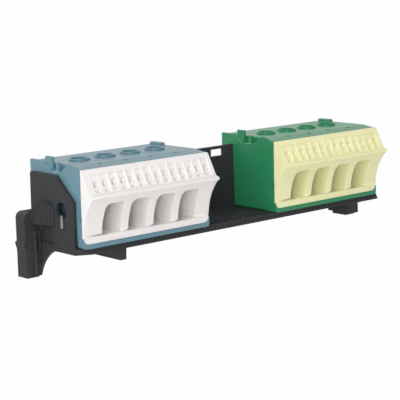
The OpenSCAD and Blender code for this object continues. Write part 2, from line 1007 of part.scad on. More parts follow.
carrier_rail();
latch_leaf();
neutral_body();
neutral_cover();
neutral_busbar();
neutral_springs();
neutral_screw(0);  // neutral_screw_1
neutral_screw(1);  // neutral_screw_2
neutral_screw(2);  // neutral_screw_3
neutral_screw(3);  // neutral_screw_4
neutral_cage(0);  // neutral_cage_1
neutral_cage(1);  // neutral_cage_2
neutral_cage(2);  // neutral_cage_3
neutral_cage(3);  // neutral_cage_4
earth_body();
earth_cover();
earth_busbar();
earth_springs();
earth_screw(0);  // earth_screw_1
earth_screw(1);  // earth_screw_2
earth_screw(2);  // earth_screw_3
earth_screw(3);  // earth_screw_4
earth_cage(0);  // earth_cage_1
earth_cage(1);  // earth_cage_2
earth_cage(2);  // earth_cage_3
earth_cage(3);  // earth_cage_4
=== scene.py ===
"""Looks of a terminal row: two push-on terminal blocks on a black clip-on carrier.

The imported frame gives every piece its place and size. The mouldings and the busbars are copies of
the frame's pieces with their edges rounded, and the screws, cages, springs and lead-in funnels are
grown by Geometry Nodes inside the room that the frame gives them. Lengths are in millimetres in the
dataclasses and in metres in Blender.
"""

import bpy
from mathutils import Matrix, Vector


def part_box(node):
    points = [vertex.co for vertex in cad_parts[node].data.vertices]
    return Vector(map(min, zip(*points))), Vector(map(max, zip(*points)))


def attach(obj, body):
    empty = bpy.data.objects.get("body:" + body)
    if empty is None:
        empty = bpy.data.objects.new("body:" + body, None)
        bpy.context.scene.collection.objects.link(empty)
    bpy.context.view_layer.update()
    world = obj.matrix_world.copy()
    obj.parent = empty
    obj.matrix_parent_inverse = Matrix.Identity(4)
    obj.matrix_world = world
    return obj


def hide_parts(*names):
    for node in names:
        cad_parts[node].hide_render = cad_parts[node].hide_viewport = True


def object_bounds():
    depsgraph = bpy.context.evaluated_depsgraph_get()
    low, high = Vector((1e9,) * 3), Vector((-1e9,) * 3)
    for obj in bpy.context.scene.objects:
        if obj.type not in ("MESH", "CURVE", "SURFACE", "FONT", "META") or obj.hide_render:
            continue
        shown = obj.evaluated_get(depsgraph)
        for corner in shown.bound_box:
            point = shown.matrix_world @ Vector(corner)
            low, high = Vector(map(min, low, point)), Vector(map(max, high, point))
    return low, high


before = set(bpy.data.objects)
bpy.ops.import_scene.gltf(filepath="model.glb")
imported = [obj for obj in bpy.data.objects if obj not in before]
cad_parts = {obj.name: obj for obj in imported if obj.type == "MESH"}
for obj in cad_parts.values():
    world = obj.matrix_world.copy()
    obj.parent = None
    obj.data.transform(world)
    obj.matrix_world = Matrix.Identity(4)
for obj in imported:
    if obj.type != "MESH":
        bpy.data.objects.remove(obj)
CAD_BOX = [list(corner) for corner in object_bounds()]

import logging
import math
from dataclasses import dataclass
from enum import Enum
from typing import Optional, Union

import bmesh
import bpy
import numpy as np
from mathutils import Matrix, Vector

log = logging.getLogger("terminal_row")

MM = 0.001
CARRIER_BODY = "carrier"
Tint = tuple[int, int, int]
Setting = Union[str, int, float, bool]


def linear(tint: Tint, gain: float = 1.0) -> tuple[float, float, float, float]:
    """Turn a colour as it is seen on a screen into the renderer's linear colour.

    Args:
        tint: Red, green and blue from 0 to 255.
        gain: Factor on the linear values.

    Returns:
        Linear red, green, blue and full alpha.
    """
    shares = [channel / 255 for channel in tint]
    straight = [s / 12.92 if s <= 0.04045 else ((s + 0.055) / 1.055) ** 2.4 for s in shares]
    return (*[min(1.0, gain * s) for s in straight], 1.0)


class Sock:
    """An output socket that takes part in Python arithmetic, one Math node for each operator."""

    def __init__(self, graph: "Graph", socket: bpy.types.NodeSocket) -> None:
        """Wrap one output socket of a graph."""
        self.graph = graph
        self.socket = socket

    def math(self, operation: str, *operands: "Operand") -> "Sock":
        """Add one Math node.

        Args:
            operation: The Math node's operation.
            operands: Its inputs in order.

        Returns:
            The node's result.
        """
        return self.graph.node("ShaderNodeMath", {"operation": operation}, dict(enumerate(operands)))

    def also(self, output: Union[str, int]) -> "Sock":
        """Another output of the same node."""
        return Sock(self.graph, self.socket.node.outputs[output])

    def __add__(self, other: "Operand") -> "Sock":
        """Sum."""
        return self.math("ADD", self, other)

    def __radd__(self, other: "Operand") -> "Sock":
        """Sum with a number on the left."""
        return self.math("ADD", other, self)

    def __sub__(self, other: "Operand") -> "Sock":
        """Difference."""
        return self.math("SUBTRACT", self, other)

    def __rsub__(self, other: "Operand") -> "Sock":
        """Difference with a number on the left."""
        return self.math("SUBTRACT", other, self)

    def __mul__(self, other: "Operand") -> "Sock":
        """Product."""
        return self.math("MULTIPLY", self, other)

    def __rmul__(self, other: "Operand") -> "Sock":
        """Product with a number on the left."""
        return self.math("MULTIPLY", other, self)

    def __truediv__(self, other: "Operand") -> "Sock":
        """Quotient."""
        return self.math("DIVIDE", self, other)

    def __rtruediv__(self, other: "Operand") -> "Sock":
        """Quotient with a number on the left."""
        return self.math("DIVIDE", other, self)

    def __pow__(self, other: "Operand") -> "Sock":
        """Power."""
        return self.math("POWER", self, other)

    def __abs__(self) -> "Sock":
        """Size without sign."""
        return self.math("ABSOLUTE", self)

    def within(self, low: float, high: float) -> "Sock":
        """The share from 0 to 1 that the value has run from low to high, held at both ends."""
        share = (self - low) / (high - low)
        return share.math("MINIMUM", share, 1.0).floor_at(0.0)

    def floor_at(self, low: float) -> "Sock":
        """The value, but never less than low."""
        return self.math("MAXIMUM", self, low)


Operand = Union[Sock, float, int]


class Graph:
    """A node tree under construction. Every node of it comes from the node method."""

    def __init__(self, tree: bpy.types.NodeTree) -> None:
        """Start with an emptied tree."""
        self.tree = tree
        tree.nodes.clear()

    def node(
        self,
        kind: str,
        settings: Optional[dict[str, Setting]] = None,
        sockets: Optional[dict[Union[str, int], object]] = None,
        output: Union[str, int] = 0,
    ) -> Sock:
        """Add a node, set it up and feed it.

        Args:
            kind: The node's type.
            settings: The node's own properties, set before its sockets.
            sockets: Values or links for its inputs, by name or place; a list feeds a multi-input.
            output: Which output to return.

        Returns:
            The chosen output, or a wrapped None for a node without outputs.
        """
        made = self.tree.nodes.new(kind)
        for key, value in (settings or {}).items():
            setattr(made, key, value)
        for key, value in (sockets or {}).items():
            for one in value if isinstance(value, list) else [value]:
                self._feed(made.inputs[key], one)
        return Sock(self, made.outputs[output] if len(made.outputs) else None)

    def _feed(self, socket: bpy.types.NodeSocket, value: object) -> None:
        """Link a socket to another node's output, or set its own value."""
        if isinstance(value, Sock):
            self.tree.links.new(value.socket, socket)
        else:
            socket.default_value = value


class ShaderGraph(Graph):
    """The node tree of one material."""

    def __init__(self, name: str) -> None:
        """Make the material and its empty tree."""
        self.material = bpy.data.materials.new(name)
        self.material.use_nodes = True
        super().__init__(self.material.node_tree)

    def millimetres(self) -> Sock:
        """Object coordinates in millimetres."""
        place = self.node("ShaderNodeTexCoord", output="Object")
        return self.scaled(place, (1 / MM,) * 3)

    def scaled(self, place: Sock, factors: tuple[float, float, float]) -> Sock:
        """Coordinates stretched by a factor for each axis."""
        return self.node("ShaderNodeVectorMath", {"operation": "MULTIPLY"}, {0: place, 1: factors})

    def noise(self, place: Sock, size: float, detail: float = 2.0) -> Sock:
        """Soft noise from about 0 to 1.

        Args:
            place: Coordinates in millimetres.
            size: Size of its grains in millimetres.
            detail: Number of finer layers.

        Returns:
            The noise's value.
        """
        return self.node("ShaderNodeTexNoise", None, {"Vector": place, "Scale": 1 / size, "Detail": detail})

    def mixed(self, first: object, second: object, share: Operand) -> Sock:
        """A colour between two others.

        Args:
            first: Colour at share 0.
            second: Colour at share 1.
            share: Place between them.

        Returns:
            The mixed colour.
        """
        settings = {"data_type": "RGBA", "clamp_factor": True}
        return self.node("ShaderNodeMix", settings, {0: share, 6: first, 7: second}, output=2)

    def bump(self, height: Sock, depth: float) -> Sock:
        """A normal that follows a height.

        Args:
            height: Height from 0 to 1.
            depth: Its full depth in millimetres.

        Returns:
            The normal.
        """
        sockets = {"Height": height, "Distance": depth * MM, "Strength": 1.0}
        return self.node("ShaderNodeBump", None, sockets)

    def surface(self, sockets: dict[Union[str, int], object]) -> bpy.types.Material:
        """Close the tree with a Principled shader.

        Args:
            sockets: Values or links of the shader's inputs.

        Returns:
            The finished material.
        """
        shader = self.node("ShaderNodeBsdfPrincipled", None, sockets)
        self.node("ShaderNodeOutputMaterial", None, {"Surface": shader})
        return self.material


class GeometryGraph(Graph):
    """A Geometry Nodes tree with named inputs, turned into plain meshes."""

    KINDS = {float: "NodeSocketFloat", int: "NodeSocketInt", tuple: "NodeSocketVector"}
    CREASE = math.radians(35.0)

    def __init__(self, name: str, inputs: dict[str, object]) -> None:
        """Make the tree.

        Args:
            name: The tree's name.
            inputs: Named inputs with the values they start from.
        """
        super().__init__(bpy.data.node_groups.new(name, "GeometryNodeTree"))
        self.identifiers: dict[str, str] = {}
        for label, value in inputs.items():
            kind = self.KINDS.get(type(value), "NodeSocketMaterial")
            socket = self.tree.interface.new_socket(label, in_out="INPUT", socket_type=kind)
            self.identifiers[label] = socket.identifier
        self.tree.interface.new_socket("Geometry", in_out="OUTPUT", socket_type="NodeSocketGeometry")
        self.start = self.node("NodeGroupInput")
        self.values = dict(inputs)

    def __getitem__(self, label: str) -> Sock:
        """The named input's socket."""
        return self.start.also(label)

    def vector(self, x: Operand, y: Operand, z: Operand) -> Sock:
        """A vector from three values."""
        return self.node("ShaderNodeCombineXYZ", None, {0: x, 1: y, 2: z})

    def sheet(self, around: int, along: int) -> tuple[Sock, Sock, Sock]:
        """A flat grid that is to be rolled up.

        Args:
            around: Number of faces round the rolled shape.
            along: Number of faces along it.

        Returns:
            The grid, and the running shares from 0 to 1 round it and along it.
        """
        sockets = {"Size X": 1.0, "Size Y": 1.0, "Vertices X": around + 1, "Vertices Y": along + 1}
        grid = self.node("GeometryNodeMeshGrid", None, sockets)
        place = self.node("ShaderNodeSeparateXYZ", None, {0: self.node("GeometryNodeInputPosition")})
        return grid, place.also("X") + 0.5, place.also("Y") + 0.5

    def rolled(self, grid: Sock, place: Sock, weld: float) -> Sock:
        """Move a grid's points to their places and weld the seams and poles.

        Args:
            grid: The flat grid.
            place: Where each point goes.
            weld: Distance within which points become one.

        Returns:
            The rolled shape.
        """
        moved = self.node("GeometryNodeSetPosition", None, {"Geometry": grid, "Position": place})
        return self.node("GeometryNodeMergeByDistance", None, {"Geometry": moved, "Distance": weld})

    def moved(self, shape: Sock, by: object, turn: object = (0.0, 0.0, 0.0)) -> Sock:
        """A shape turned and then moved."""
        return self.node(
            "GeometryNodeTransform", None, {"Geometry": shape, "Translation": by, "Rotation": turn}
        )

    def block(self, size: Sock) -> Sock:
        """A box of the given size about the origin."""
        return self.node("GeometryNodeMeshCube", None, {"Size": size})

    def cut(self, shape: Sock, cutters: list[Sock]) -> Sock:
        """A shape with others cut away from it."""
        sockets = {"Mesh 1": shape, "Mesh 2": cutters}
        return self.node("GeometryNodeMeshBoolean", {"operation": "DIFFERENCE"}, sockets)

    def joined(self, shapes: list[Sock]) -> Sock:
        """Several closed shapes as one."""
        return self.node("GeometryNodeMeshBoolean", {"operation": "UNION"}, {"Mesh 2": shapes})

    def row(self, shape: Sock, start: Sock, count: Sock, pitch: Sock) -> Sock:
        """Copies of a shape in a straight row along X.

        Args:
            shape: The shape, drawn about the origin.
            start: Place of the first copy.
            count: Number of copies.
            pitch: Distance from each to the next.

        Returns:
            The instances.
        """
        sockets = {"Count": count, "Start Location": start, "Offset": self.vector(pitch, 0.0, 0.0)}
        points = self.node("GeometryNodeMeshLine", {"mode": "OFFSET"}, sockets)
        return self.node("GeometryNodeInstanceOnPoints", None, {"Points": points, "Instance": shape})

    def close(self, shape: Sock) -> None:
        """End the tree: real geometry, smooth up to the crease angle, in its material.

        Args:
            shape: The finished shape or instances.
        """
        real = self.node("GeometryNodeRealizeInstances", None, {"Geometry": shape})
        smooth = self.node("GeometryNodeSetShadeSmooth", {"domain": "FACE"}, {"Geometry": real})
        angle = self.node("GeometryNodeInputMeshEdgeAngle")
        sharp = self.node("FunctionNodeCompare", {"operation": "GREATER_THAN"}, {0: angle, 1: self.CREASE})
        creased = self.node(
            "GeometryNodeSetShadeSmooth",
            {"domain": "EDGE"},
            {"Geometry": smooth, "Selection": sharp, "Shade Smooth": False},
        )
        dressed = self.node(
            "GeometryNodeSetMaterial", None, {"Geometry": creased, "Material": self["Material"]}
        )
        self.node("NodeGroupOutput", None, {"Geometry": dressed})

    def grown(self, name: str, **changes: object) -> bpy.types.Object:
        """Run the tree and keep its result as a plain mesh.

        Args:
            name: Name of the new object.
            changes: Inputs that differ from the tree's own values, with _ for spaces.

        Returns:
            The object, with no modifier left.
        """
        seed = bpy.data.objects.new(name + "_seed", bpy.data.meshes.new(name + "_seed"))
        bpy.context.scene.collection.objects.link(seed)
        modifier = seed.modifiers.new("grow", "NODES")
        modifier.node_group = self.tree
        wanted = self.values | {key.replace("_", " "): value for key, value in changes.items()}
        for label, value in wanted.items():
            modifier[self.identifiers[label]] = value
        graph = bpy.context.evaluated_depsgraph_get()
        mesh = bpy.data.meshes.new_from_object(seed.evaluated_get(graph), depsgraph=graph)
        bpy.data.objects.remove(seed)
        mesh.name = name
        shell = bmesh.new()
        shell.from_mesh(mesh)
        bmesh.ops.recalc_face_normals(shell, faces=shell.faces)
        shell.to_mesh(mesh)
        shell.free()
        grown = bpy.data.objects.new(name, mesh)
        bpy.context.scene.collection.objects.link(grown)
        return grown


@dataclass(frozen=True)
class MouldedPlastic:
    """Injection-moulded plastic with a fine eroded grain and slow shade and gloss variation."""

    name: str
    slot: str
    colour: Tint
    cloud: float = 0.05
    cloud_size: float = 26.0
    flow_size: float = 4.5
    flow_stretch: tuple[float, float, float] = (0.35, 1.0, 1.0)
    speck_size: float = 0.9
    shade_shares: tuple[float, float, float] = (0.6, 0.25, 0.15)
    roughness: float = 0.42
    gloss_spread: float = 0.10
    gloss_shares: tuple[float, float] = (0.6, 0.4)
    grain_size: float = 0.28
    grain_depth: float = 0.010
    grain_shares: tuple[float, float] = (0.75, 0.25)
    specular: float = 0.5
    subsurface: float = 0.0
    subsurface_reach: float = 2.0
    subsurface_tint: tuple[float, float, float] = (1.0, 0.9, 0.7)

    def material(self) -> bpy.types.Material:
        """Build the finish's material."""
        graph = ShaderGraph(self.name)
        place = graph.millimetres()
        cloud = graph.noise(place, self.cloud_size, 3.0)
        flow = graph.noise(graph.scaled(place, self.flow_stretch), self.flow_size)
        speck = graph.noise(place, self.speck_size, 1.0)
        grain = graph.noise(place, self.grain_size)
        by_cloud, by_flow, by_speck = self.shade_shares
        shade = cloud * by_cloud + flow * by_flow + speck * by_speck
        low = linear(self.colour, 1 - 2 * self.cloud)
        high = linear(self.colour, 1 + 2 * self.cloud)
        colour = graph.mixed(low, high, shade)
        streaks = flow * self.gloss_shares[0] + speck * self.gloss_shares[1]
        gloss = self.roughness + (streaks - 0.5) * (2 * self.gloss_spread)
        height = grain * self.grain_shares[0] + speck * self.grain_shares[1]
        return graph.surface({
            "Base Color": colour,
            "Roughness": gloss,
            "Specular IOR Level": self.specular,
            "Subsurface Weight": self.subsurface,
            "Subsurface Scale": self.subsurface_reach * MM,
            "Subsurface Radius": self.subsurface_tint,
            "Normal": graph.bump(height, self.grain_depth),
        })


class Working(Enum):
    """How a metal piece got its surface."""

    ROLLED = "rolled"
    TURNED = "turned"


@dataclass(frozen=True)
class WorkedMetal:
    """Plated or bare metal with the marks of rolling or turning."""

    name: str
    slot: str
    colour: Tint
    tarnish: Tint
    working: Working
    roughness: float = 0.30
    cloud_size: float = 3.2
    cloud_gloss: float = 0.12
    tarnish_from: float = 0.35
    tarnish_to: float = 0.75
    ring_size: float = 0.12
    mark_size: float = 0.16
    mark_stretch: tuple[float, float, float] = (0.06, 1.0, 1.0)
    mark_gloss: float = 0.22
    mark_depth: float = 0.006

    def material(self) -> bpy.types.Material:
        """Build the finish's material."""
        graph = ShaderGraph(self.name)
        place = graph.millimetres()
        cloud = graph.noise(place, self.cloud_size, 3.0)
        if self.working is Working.TURNED:
            local = graph.node("ShaderNodeAttribute", {"attribute_name": "from_axis"}, output="Vector")
            marks = graph.noise(self._rings(graph, local), self.ring_size, 1.0)
        else:
            marks = graph.noise(graph.scaled(place, self.mark_stretch), self.mark_size)
        dulled = cloud.within(self.tarnish_from, self.tarnish_to)
        colour = graph.mixed(linear(self.colour), linear(self.tarnish), dulled)
        return graph.surface({
            "Base Color": colour,
            "Metallic": 1.0,
            "Roughness": (
                self.roughness + (marks - 0.5) * self.mark_gloss + (cloud - 0.5) * self.cloud_gloss
            ),
            "Normal": graph.bump(marks, self.mark_depth),
        })

    @staticmethod
    def _rings(graph: ShaderGraph, local: Sock) -> Sock:
        """Coordinates that change only with height and with distance from a turned piece's axis."""
        parts = graph.node("ShaderNodeSeparateXYZ", None, {0: local})
        across = (parts.also("X") ** 2 + parts.also("Y") ** 2) ** 0.5
        sockets = {0: across / MM, 2: parts.also("Z") / MM}
        return graph.node("ShaderNodeCombineXYZ", None, sockets)


Finish = Union[MouldedPlastic, WorkedMetal]

BLACK = MouldedPlastic(
    "carrier black", "carrier_black", (54, 55, 57), cloud=0.08, roughness=0.55, specular=0.12,
    grain_size=0.34, grain_depth=0.016,
)
BLUE = MouldedPlastic("neutral blue", "blue_body", (98, 134, 147), roughness=0.34, specular=0.35)
GREEN = MouldedPlastic("earth green", "green_body", (44, 131, 88), roughness=0.34, specular=0.35)
WHITE = MouldedPlastic(
    "cover white", "white_cover", (238, 234, 232), cloud=0.02, roughness=0.44, subsurface=0.2,
)
YELLOW = MouldedPlastic(
    "cover pale yellow", "yellow_cover", (244, 240, 188), cloud=0.02, roughness=0.44, subsurface=0.2,
)
BRASS = WorkedMetal("busbar brass", "busbar_brass", (214, 172, 92), (186, 138, 66), Working.ROLLED, 0.28)
SPRING = WorkedMetal("spring steel", "spring_steel", (198, 198, 196), (170, 164, 152), Working.ROLLED, 0.24)
LEAF = WorkedMetal("latch steel", "spring_steel", (150, 149, 146), (118, 114, 106), Working.ROLLED, 0.42)
ZINC = WorkedMetal("screw zinc", "screw_zinc", (206, 208, 210), (186, 184, 172), Working.TURNED, 0.30)
CAGE = WorkedMetal("cage steel", "cage_steel", (190, 192, 194), (168, 166, 158), Working.ROLLED, 0.36)


class Wardrobe:
    """Makes each finish's material once."""

    def __init__(self) -> None:
        """Start with nothing made."""
        self.made: dict[str, bpy.types.Material] = {}

    def material(self, finish: Finish) -> bpy.types.Material:
        """The finish's material."""
        if finish.name not in self.made:
            self.made[finish.name] = finish.material()
        return self.made[finish.name]


WARDROBE = Wardrobe()


@dataclass(frozen=True)
class RoundBand:
    """A band of a piece's height in which outward edges have a rounding of their own."""

    bottom: float
    top: float
    width: float


@dataclass(frozen=True)
class EdgeRound:
    """How a moulded or stamped piece's edges are rounded.

    Lengths are in millimetres and angles in degrees. Broad is the usual width of a rounding, fine the
    width below which an edge stays crisp, and share the part of a face's width that a rounding may take.
    """

    broad: float = 0.5
    fine: float = 0.15
    share: float = 0.32
    corner: float = 30.0
    segments: int = 3
    weld: float = 0.001
    flat: float = 0.3
    rim_step: float = 1.2
    rim_most: int = 120
    upright: float = 0.6
    leaning: float = 0.1
    bands: tuple[RoundBand, ...] = ()

    def copy_of(self, node: str, name: str) -> bpy.types.Object:
        """Copy a frame piece as clean polygons with rounded edges.

        Args:
            node: The frame's piece.
            name: The new object's name.

        Returns:
            The copy, with its rounding in the mesh and its shading as a live modifier.
        """
        shell = self._clean_shell(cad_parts[node].data)
        self._weigh_edges(shell)
        mesh = bpy.data.meshes.new(name)
        shell.to_mesh(mesh)
        shell.free()
        copy = bpy.data.objects.new(name, mesh)
        bpy.context.scene.collection.objects.link(copy)
        bevel = copy.modifiers.new("rounded edges", "BEVEL")
        bevel.limit_method = "WEIGHT"
        bevel.width = self.widest * MM
        bevel.segments = self.segments
        bevel.use_clamp_overlap = False
        bevel.offset_type = "ABSOLUTE"
        self._apply_rounding(copy)
        normals = copy.modifiers.new("flat faces stay flat", "WEIGHTED_NORMAL")
        normals.keep_sharp = True
        return copy

    def _apply_rounding(self, copy: bpy.types.Object) -> None:
        """Run a copy's modifiers and melt away edges and faces that they leave without size.

        Args:
            copy: The copy, which keeps no modifier.
        """
        graph = bpy.context.evaluated_depsgraph_get()
        rounded = bpy.data.meshes.new_from_object(copy.evaluated_get(graph), depsgraph=graph)
        copy.modifiers.clear()
        shell = bmesh.new()
        shell.from_mesh(rounded)
        bmesh.ops.dissolve_degenerate(shell, dist=self.weld * MM, edges=shell.edges)
        shell.to_mesh(rounded)
        shell.free()
        rounded.name = copy.name
        copy.data = rounded

    @property
    def widest(self) -> float:
        """The widest rounding in millimetres."""
        return max([self.broad] + [band.width for band in self.bands])

    def _clean_shell(self, source: bpy.types.Mesh) -> bmesh.types.BMesh:
        """Weld a mesh of loose triangles and melt its flat faces into polygons.

        Args:
            source: The frame piece's mesh.

        Returns:
            The welded shell.
        """
        points = np.empty(len(source.vertices) * 3)
        source.vertices.foreach_get("co", points)
        shell = bmesh.new()
        corners = [shell.verts.new(point) for point in points.reshape(-1, 3)]
        for polygon in source.polygons:
            shell.faces.new([corners[index] for index in polygon.vertices])
        bmesh.ops.remove_doubles(shell, verts=shell.verts, dist=self.weld * MM)
        angle = math.radians(self.flat)
        bmesh.ops.dissolve_limit(shell, angle_limit=angle, verts=shell.verts, edges=shell.edges)
        shell.normal_update()
        for face in shell.faces:
            face.smooth = True
        return shell

    def _weigh_edges(self, shell: bmesh.types.BMesh) -> None:
        """Give each sharp edge a rounding that fits between its neighbours, or else a crisp shade.

        The rims of bores keep the chamfer that the frame gives them.

        Args:
            shell: The welded shell.
        """
        weights = shell.edges.layers.float.new("bevel_weight_edge")
        base = min(vert.co.z for vert in shell.verts)
        limit = math.radians(self.corner)
        sharp = {e for e in shell.edges if len(e.link_faces) == 2 and e.calc_face_angle(0.0) >= limit}
        rims = self._bore_rims(sharp)
        for edge in sharp:
            room = min(self._room(loop) for loop in edge.link_loops) / MM
            width = min(self._wanted(edge, base), self.share * room)
            if edge in rims or width <= self.fine:
                edge.smooth = False
            else:
                edge[weights] = width / self.widest

    def _bore_rims(self, sharp: set[bmesh.types.BMEdge]) -> set[bmesh.types.BMEdge]:
        """Sharp edges that belong to a small closed ring.

        Args:
            sharp: All sharp edges of a shell.

        Returns:
            The edges of its rings.
        """
        rims: set[bmesh.types.BMEdge] = set()
        for first in sharp:
            if first in rims or first.calc_length() > self.rim_step * MM:
                continue
            rims.update(self._ring_from(first, sharp))
        return rims

    def _ring_from(
        self, first: bmesh.types.BMEdge, sharp: set[bmesh.types.BMEdge]
    ) -> list[bmesh.types.BMEdge]:
        """Follow a smooth chain of sharp edges until it closes.

        Args:
            first: The edge to start from.
            sharp: All sharp edges of the shell.

        Returns:
            The ring's edges, or nothing where the chain ends, forks or turns a corner.
        """
        ring = [first]
        vert = first.verts[1]
        while vert is not first.verts[0]:
            course = vert.co - ring[-1].other_vert(vert).co
            ahead = [
                edge for edge in vert.link_edges
                if edge in sharp and edge is not ring[-1]
                and course.angle(edge.other_vert(vert).co - vert.co) < math.radians(self.corner)
            ]
            if len(ahead) != 1 or len(ring) > self.rim_most:
                return []
            ring.append(ahead[0])
            vert = ahead[0].other_vert(vert)
        return ring

    def _wanted(self, edge: bmesh.types.BMEdge, base: float) -> float:
        """The rounding in millimetres that an edge would have with room to spare.

        Args:
            edge: The edge.
            base: Height of the piece's lowest point in metres.

        Returns:
            The rounding's width.
        """
        heights = [(vert.co.z - base) / MM for vert in edge.verts]
        for band in self.bands:
            if edge.is_convex and band.bottom <= min(heights) and max(heights) <= band.top:
                return band.width
        return self.broad

    def _room(self, loop: bmesh.types.BMLoop) -> float:
        """Width of a face beside one of its edges, measured square to the edge.

        A neighbour in the outline that stands upright on the edge counts with its own height, and one
        that leans in over the edge counts with the height at which it would meet its fellow.

        Args:
            loop: The edge's use in that face.

        Returns:
            The least distance in metres to the part of the face's outline that lies beside the edge.
        """
        outline = np.array([corner.vert.co for corner in loop.face.loops])
        first = list(loop.face.loops).index(loop)
        outline = np.roll(outline, -first, axis=0)
        along = (loop.link_loop_next.vert.co - loop.vert.co).normalized()
        inward = loop.face.normal.cross(along)
        length = loop.edge.calc_length()
        run = (outline - outline[0]) @ np.array(along)
        depth = (outline - outline[0]) @ np.array(inward)
        found = [self._nearest(run[2:], depth[2:], length)]
        for far, near in ((-1, 0), (2, 1)):
            reach = np.linalg.norm(outline[far] - outline[near])
            if depth[far] > self.upright * reach:
                found.append(depth[far])
            lean = abs(run[far] - run[near])
            leans_in = (run[far] - run[near]) * (length - 2 * run[near]) > 0.0
            if leans_in and lean > self.leaning * reach and depth[far] > 0.0:
                over_edge = 0.0 < run[far] < length
                found.append(depth[far] if over_edge else depth[far] * length / (2 * lean))
        return float(min(found))

    @staticmethod
    def _nearest(run: np.ndarray, depth: np.ndarray, length: float) -> float:
        """How near the rest of an outline comes to an edge that it lies beside.

        Args:
            run: The outline's points' places along the edge.
            depth: Their distances from the edge's line, into the face.
            length: The edge's length.

        Returns:
            The least distance in metres, or 1 where nothing lies beside the edge.
        """
        span = np.diff(run)
        beside = (np.maximum(run[:-1], run[1:]) > 0.0) & (np.minimum(run[:-1], run[1:]) < length)
        steep = np.where(np.abs(span) > 1e-9, np.diff(depth) / np.where(span == 0.0, 1.0, span), 0.0)
        ends = []
        for point in (run[:-1], run[1:]):
            held = np.clip(point, 0.0, length)
            ends.append(depth[:-1] + (held - run[:-1]) * steep)
        depths = np.concatenate(ends)[np.concatenate([beside, beside])]
        ahead = depths[depths > 1e-7]
        return float(ahead.min()) if len(ahead) else 1.0


def seat(piece: bpy.types.Object, finish: Finish, body: str, replaced: Optional[str] = None) -> None:
    """Dress a piece and set it on its body.

    Args:
        piece: The finished piece.
        finish: Its finish.
        body: The frame body that it rides on.
        replaced: The frame piece that it stands for.
    """
    piece.data.materials.clear()
    piece.data.materials.append(WARDROBE.material(finish))
    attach(piece, body)
    if replaced:
        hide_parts(replaced)
    log.info("%s: %d polygons, %s, on %s", piece.name, len(piece.data.polygons), finish.name, body)


@dataclass(frozen=True)
class Carrier:
    """The black carrier: shelf, back wall, end plate, thumb pad and clip foot in one moulding."""

    node: str = "carrier_rail"
    leaf: str = "latch_leaf"
    rounding: EdgeRound = EdgeRound(broad=0.45)
    leaf_round: EdgeRound = EdgeRound(broad=0.25)

    def build(self) -> None:
        """Make and seat the carrier and its latch leaf."""
        seat(self.rounding.copy_of(self.node, "carrier_moulding"), BLACK, CARRIER_BODY, self.node)
        seat(self.leaf_round.copy_of(self.leaf, "latch_leaf_finished"), LEAF, CARRIER_BODY, self.leaf)


